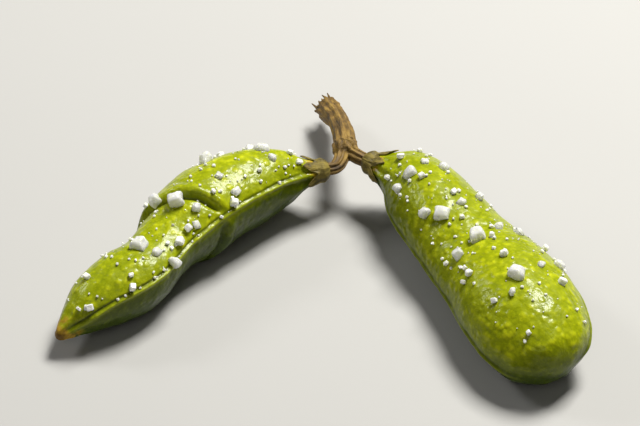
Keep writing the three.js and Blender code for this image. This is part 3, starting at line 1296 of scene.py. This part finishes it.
@dataclass
class CoarseSalt:
    """The larger salt crystals of one pod, each where its solid lies."""

    pod: Pod
    skin: bpy.types.Object  # the pod's modelled skin, in millimetres
    rounding: float = 0.15
    knobbly: float = 0.36
    pitting: float = 0.035
    sunk: float = 0.12
    base: float = 0.35  # the share of a crystal's height that counts as its base
    smooth_below: float = 40.0  # degrees between two faces

    def __post_init__(self) -> None:
        """Lists the crystals' CAD nodes and readies the skin for measuring."""
        start = f"salt_{self.pod.side.value}_"
        self.nodes = sorted(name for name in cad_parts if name.startswith(start))
        self.tree = BVHTree.FromObject(self.skin, bpy.context.evaluated_depsgraph_get())

    def _settled(self, points: np.ndarray) -> np.ndarray:
        """Moves a crystal along the skin's normal until its base is just in the skin.

        Args:
            points: the crystal's vertices, in millimetres.

        Returns:
            The moved vertices.
        """
        middle = Vector(points.mean(axis=0))
        foot, out, _, _ = self.tree.find_nearest(middle)
        heights = (points - np.array(foot)) @ np.array(out)
        base = points[heights < heights.min() + self.base * np.ptp(heights)]
        gaps = []
        for p in base:
            near, normal, _, _ = self.tree.find_nearest(Vector(p))
            gaps.append((Vector(p) - near).dot(normal))
        return points - np.array(out) * (np.mean(gaps) + self.sunk)

    def _crystal(self, node: str) -> bpy.types.Object:
        """Models one chipped crystal from its plain solid.

        Args:
            node: the solid's CAD node.

        Returns:
            The crystal, in millimetres.
        """
        name = node.replace("salt", "crystal")
        crystal = bpy.data.objects.new(name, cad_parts[node].data.copy())
        bpy.context.scene.collection.objects.link(crystal)
        crystal.data.transform(Matrix.Scale(1 / MM, 4))
        with editing(crystal):
            bpy.ops.mesh.remove_doubles(threshold=0.002)
            bpy.ops.mesh.dissolve_limited(angle_limit=math.radians(2.0))
            bpy.ops.mesh.bevel(offset=self.rounding, segments=2, affect="EDGES", clamp_overlap=True)
            bpy.ops.mesh.quads_convert_to_tris()
        apply_modifier(crystal, "SUBSURF", subdivision_type="SIMPLE", levels=2, render_levels=2)
        points = coordinates(crystal)
        height = self.knobbly * fractal(points, 1.3, 1, 5.5) + self.pitting * fractal(points, 0.45, 2, 3.3)
        move_vertices(crystal, self._settled(points + vertex_normals(crystal) * height[:, None]))
        bpy.ops.object.shade_smooth_by_angle(angle=math.radians(self.smooth_below))
        return crystal

    def build(self) -> list[bpy.types.Object]:
        """Models the crystals.

        Returns:
            One object for each, in millimetres.
        """
        return [self._crystal(node) for node in self.nodes]

    def dress(self, crystals: Sequence[bpy.types.Object], material: bpy.types.Material) -> None:
        """Gives the crystals their finish and hangs them on the frame.

        Args:
            crystals: the modelled crystals, in the order of their nodes.
            material: their finish.
        """
        for crystal, node in zip(crystals, self.nodes):
            hand_over(crystal, material, [node])


@dataclass
class FineSalt:
    """The small grains and the dust scattered over one pod's upper side."""

    pod: Pod
    crystals: Sequence[bpy.types.Object]  # the pod's larger crystals, in millimetres
    seed: int
    grains: int = 32
    dust: int = 150
    grain_sizes: tuple[float, float] = (0.4, 1.05)
    dust_sizes: tuple[float, float] = (0.14, 0.42)
    shapes: int = 9
    angles: tuple[float, float] = (35.0, 145.0)  # degrees around the pod, where 90 is its top as it lies
    bare: tuple[float, float] = (3.0, 3.5)  # how much of the stalk end and of the beak is free of salt
    gathered: float = 0.5  # this share lies near a larger crystal
    spread: float = 2.2  # how near
    mostly_small: float = 1.8  # above 1, small grains are more common than large ones
    stretch: tuple[float, float] = (0.75, 1.2)
    tilt: float = 0.35  # how far a grain usually leans, in radians
    raised: float = 0.33  # how far a grain's middle stands off the skin, as a share of its size

    def _shape(self, index: int) -> tuple[np.ndarray, list[tuple[int, ...]]]:
        """Models one chipped, uneven grain of size 1.

        Args:
            index: which of the shapes it is.

        Returns:
            Its vertices and its faces.
        """
        bpy.ops.object.select_all(action="DESELECT")
        bpy.ops.mesh.primitive_cube_add(size=0.88)
        grain = bpy.context.active_object
        with editing(grain):
            bpy.ops.transform.vertex_random(offset=0.2, seed=self.seed + index)
            bpy.ops.mesh.bevel(offset=0.15, segments=1, affect="EDGES")
            bpy.ops.transform.vertex_random(offset=0.05, seed=self.seed + index)
        points = coordinates(grain)
        faces = [tuple(face.vertices) for face in grain.data.polygons]
        bpy.data.objects.remove(grain)
        return points, faces

    def _places(self, count: int, rng: np.random.Generator) -> tuple[np.ndarray, np.ndarray]:
        """Chooses where the grains lie, a share of them near a larger crystal.

        Args:
            count: how many grains there are.
            rng: the source of the random draws.

        Returns:
            Each grain's distance along the pod's spine and angle around it.
        """
        limb = self.pod.limb
        salted = np.radians(np.array(self.angles) - limb.roll)
        s = rng.uniform(limb.start + self.bare[1], limb.end - self.bare[1], count)
        angle = rng.uniform(*salted, count)
        centres = np.array([coordinates(c).mean(axis=0) for c in self.crystals])
        grid_s, grid_angle = np.meshgrid(np.linspace(2, limb.end - 1, 90), np.linspace(*salted, 60))
        net = limb.skin(grid_s.ravel(), grid_angle.ravel())
        nearest = np.linalg.norm(centres[:, None] - net[None], axis=2).argmin(axis=1)
        chosen = nearest[rng.integers(0, len(centres), count)]
        near = rng.random(count) < self.gathered
        s[near] = grid_s.ravel()[chosen[near]] + rng.normal(0, self.spread, near.sum())
        angle[near] = grid_angle.ravel()[chosen[near]] + rng.normal(0, self.spread / 6.5, near.sum())
        return np.clip(s, limb.start + self.bare[0], limb.end - self.bare[1]), np.clip(angle, *salted)

    def _clear_of_crystals(self, feet: np.ndarray, sizes: np.ndarray) -> np.ndarray:
        """Finds the grains that stay clear of the larger crystals.

        Args:
            feet: the grains' places on the skin, in millimetres.
            sizes: their sizes.

        Returns:
            True for each grain that is clear of them.
        """
        clear = np.ones(len(feet), bool)
        for crystal in self.crystals:
            points = coordinates(crystal)
            middle = points.mean(axis=0)
            radius = np.linalg.norm(points - middle, axis=1).mean()
            nearest = np.linalg.norm(feet[:, None] - points[None], axis=2).min(axis=1)
            clear &= (nearest > 0.6 * sizes) & (np.linalg.norm(feet - middle, axis=1) > radius)
        return clear

    def build(self) -> bpy.types.Object:
        """Models the grains.

        Returns:
            All the grains as one object, in millimetres.
        """
        rng = np.random.default_rng(self.seed)
        shapes = [self._shape(i) for i in range(self.shapes)]
        count = self.grains + self.dust
        s, angle = self._places(count, rng)
        feet, normals = self.pod.sculpted(s, angle), self.pod.limb.normals(s, angle)
        share = rng.random(count) ** self.mostly_small
        larger = np.arange(count)[:, None] < self.grains
        low, high = np.where(larger, self.grain_sizes, self.dust_sizes).T
        sizes = low + (high - low) * share
        points, faces = [], []
        total = 0
        for i in np.flatnonzero(self._clear_of_crystals(feet, sizes)):
            corners, sides = shapes[i % self.shapes]
            turn = Vector(normals[i]).to_track_quat("Z", "Y").to_matrix()
            turn = turn @ Matrix.Rotation(rng.uniform(0, ROUND_TURN), 3, "Z")
            turn = turn @ Matrix.Rotation(rng.normal(0, self.tilt), 3, "X")
            grain = corners * rng.uniform(*self.stretch, 3) * sizes[i]
            points.append(grain @ np.array(turn).T + feet[i] + normals[i] * sizes[i] * self.raised)
            faces += [tuple(v + total for v in side) for side in sides]
            total += len(corners)
        mesh = bpy.data.meshes.new("fine_salt")
        mesh.from_pydata(np.vstack(points).tolist(), [], faces)
        salt = bpy.data.objects.new(f"fine_salt_{self.pod.side.value}", mesh)
        bpy.context.scene.collection.objects.link(salt)
        close_and_orient(salt, merge=1e-5)
        return salt

    def dress(self, salt: bpy.types.Object, material: bpy.types.Material) -> None:
        """Gives the grains their finish and hangs them on the frame."""
        hand_over(salt, material)


# ---- the studio -------------------------------------------------------------------------------


@dataclass
class Studio:
    """The pale floor, the soft lights and the camera."""

    elevation: float = 40.0
    azimuth: float = 0.0
    lens: float = 135.0
    fill: float = 0.80  # the share of the picture's width that the branch takes up
    floor_size: float = 4.0
    room_colour: Colour = (1.0, 0.98, 0.93)
    room_light: float = 0.07

    def floor(self) -> None:
        """Lays the floor."""
        bpy.ops.object.select_all(action="DESELECT")
        bpy.ops.mesh.primitive_plane_add(size=self.floor_size)
        floor = bpy.context.active_object
        floor.name = "studio_floor"
        floor.data.materials.append(PaleFloor().material("studio_floor"))

    def lamp(
        self, name: str, place: Triple, size: float, power: float, colour: Colour = (1.0, 1.0, 1.0)
    ) -> None:
        """Hangs a soft square lamp that points at the branch.

        Args:
            name: its name.
            place: where it hangs, in metres.
            size: the length of its side, in metres.
            power: its power, in watts.
            colour: its colour.
        """
        light = bpy.data.lights.new(name, "AREA")
        light.energy, light.size, light.color = power, size, colour
        lamp = bpy.data.objects.new(name, light)
        lamp.location = place
        lamp.rotation_euler = (-Vector(place)).to_track_quat("-Z", "Y").to_euler()
        bpy.context.scene.collection.objects.link(lamp)

    def lights(self) -> None:
        """Hangs the key lamp above and behind, a rim lamp, a weak fill in front, and lights the room."""
        self.lamp("key", (0.15, 0.18, 0.40), size=0.16, power=3.6, colour=(1.0, 0.985, 0.94))
        self.lamp("rim", (-0.32, 0.16, 0.26), size=0.10, power=0.40)
        self.lamp("front", (-0.10, -0.42, 0.42), size=0.30, power=0.24, colour=(1.0, 0.99, 0.96))
        world = bpy.data.worlds.new("room")
        bpy.context.scene.world = world
        world.use_nodes = True
        background = world.node_tree.nodes["Background"]
        background.inputs["Color"].default_value = (*self.room_colour, 1.0)
        background.inputs["Strength"].default_value = self.room_light

    def camera(self) -> None:
        """Places the camera, looking down on the branch from the front."""
        low, high = (np.array(corner) for corner in CAD_BOX)
        data = bpy.data.cameras.new("camera")
        data.lens = self.lens
        camera = bpy.data.objects.new("camera", data)
        bpy.context.scene.collection.objects.link(camera)
        tilt, turn = math.radians(self.elevation), math.radians(self.azimuth)
        back = Vector((math.sin(turn) * math.cos(tilt), -math.cos(turn) * math.cos(tilt), math.sin(tilt)))
        distance = (high[0] - low[0]) / self.fill * self.lens / data.sensor_width
        camera.location = Vector((low + high) / 2) + back * distance
        camera.rotation_euler = back.to_track_quat("Z", "Y").to_euler()
        data.clip_start, data.clip_end = 0.01, 10.0
        bpy.context.scene.camera = camera

    def film(self) -> None:
        """Keeps the picture's colours as they are, with no tone curve."""
        bpy.context.scene.view_settings.view_transform = "Standard"


# ---- the branch -------------------------------------------------------------------------------


def right_pod() -> Pod:
    """Lays out the large, club-shaped pod with a subtle waist and a blunt end.

    Returns:
        The pod, not yet modelled.
    """
    return Pod(
        Side.RIGHT,
        spine=(
            (5.6, 17.9, 6.2), (10.2, 14.8, 5.7), (13.6, 9.0, 4.95), (17.2, 2.6, 4.7),
            (21.0, -4.4, 5.1), (24.2, -12.0, 4.8), (26.4, -17.4, 3.2),
        ),
        stations=(
            (0.0, 1.05, 1.05, 1.05), (2.2, 2.4, 2.1, 1.9), (5.0, 4.3, 3.8, 3.5), (8.5, 5.5, 4.8, 4.8),
            (12.5, 5.9, 5.3, 5.1), (17.0, 6.1, 5.6, 4.6), (21.0, 6.5, 6.0, 4.3), (25.5, 6.9, 6.6, 5.0),
            (30.5, 7.1, 7.2, 5.4), (35.0, 6.7, 7.0, 5.1), (38.2, 5.8, 6.1, 4.4), (40.4, 4.3, 4.7, 3.4),
            (41.5, 2.5, 2.7, 2.0), (42.0, 1.1, 1.1, 0.9),
        ),
        roll=9.0,
        waist=20.5,
        slant=2.0,
        crease=0.1,
        furrow=0.4,
        brown_tip=0.0,
    )


def left_pod() -> Pod:
    """Lays out the slimmer pod with a pinched, slanted waist and a brown tip.

    Returns:
        The pod, not yet modelled.
    """
    return Pod(
        Side.LEFT,
        spine=(
            (-0.6, 16.6, 6.0), (-7.4, 14.9, 5.6), (-14.4, 10.3, 5.25), (-19.0, 4.2, 4.9),
            (-22.4, -1.1, 4.3), (-27.2, -5.7, 3.85), (-31.6, -10.1, 2.3),
        ),
        stations=(
            (0.0, 1.05, 1.05, 1.05), (2.2, 1.9, 2.6, 1.8), (4.5, 3.2, 4.9, 3.3), (8.5, 4.8, 6.5, 4.6),
            (12.5, 5.6, 6.8, 5.0), (16.5, 5.8, 6.8, 5.2), (20.0, 5.2, 6.4, 4.7), (23.0, 4.7, 5.1, 3.9),
            (26.2, 4.6, 4.5, 3.7), (30.5, 4.8, 5.2, 4.2), (34.0, 4.3, 4.9, 3.9), (37.2, 3.2, 3.6, 3.0),
            (39.8, 1.9, 2.0, 1.8), (41.4, 1.1, 1.1, 1.05), (42.5, 0.5, 0.5, 0.5),
        ),
        roll=28.0,
        waist=21.0,
        slant=-3.0,
        crease=0.85,
        furrow=0.9,
        brown_tip=3.4,
    )


def main() -> None:
    """Builds the branch and the studio, and reports each piece."""
    logging.basicConfig(level=logging.INFO, format="%(name)s %(message)s")
    pods = [right_pod(), left_pod()]
    salt = SaltCrystal().material("salt")
    fine_salt = SaltCrystal(clear=0.1, scatter=0.3).material("fine_salt")
    for number, pod in enumerate(pods):
        skin = pod.build()
        coarse = CoarseSalt(pod, skin)
        crystals = coarse.build()
        fine = FineSalt(pod, crystals, seed=SALT_SEED + number)
        grains = fine.build()
        pod.dress(skin)
        coarse.dress(crystals, salt)
        fine.dress(grains, fine_salt)
        calyx = Calyx(pod)
        calyx.dress(calyx.build())
    twig = Twig(pods)
    twig.dress(twig.build())
    studio = Studio()
    studio.floor()
    studio.lights()
    studio.camera()
    studio.film()


if __name__ == "__main__":
    main()
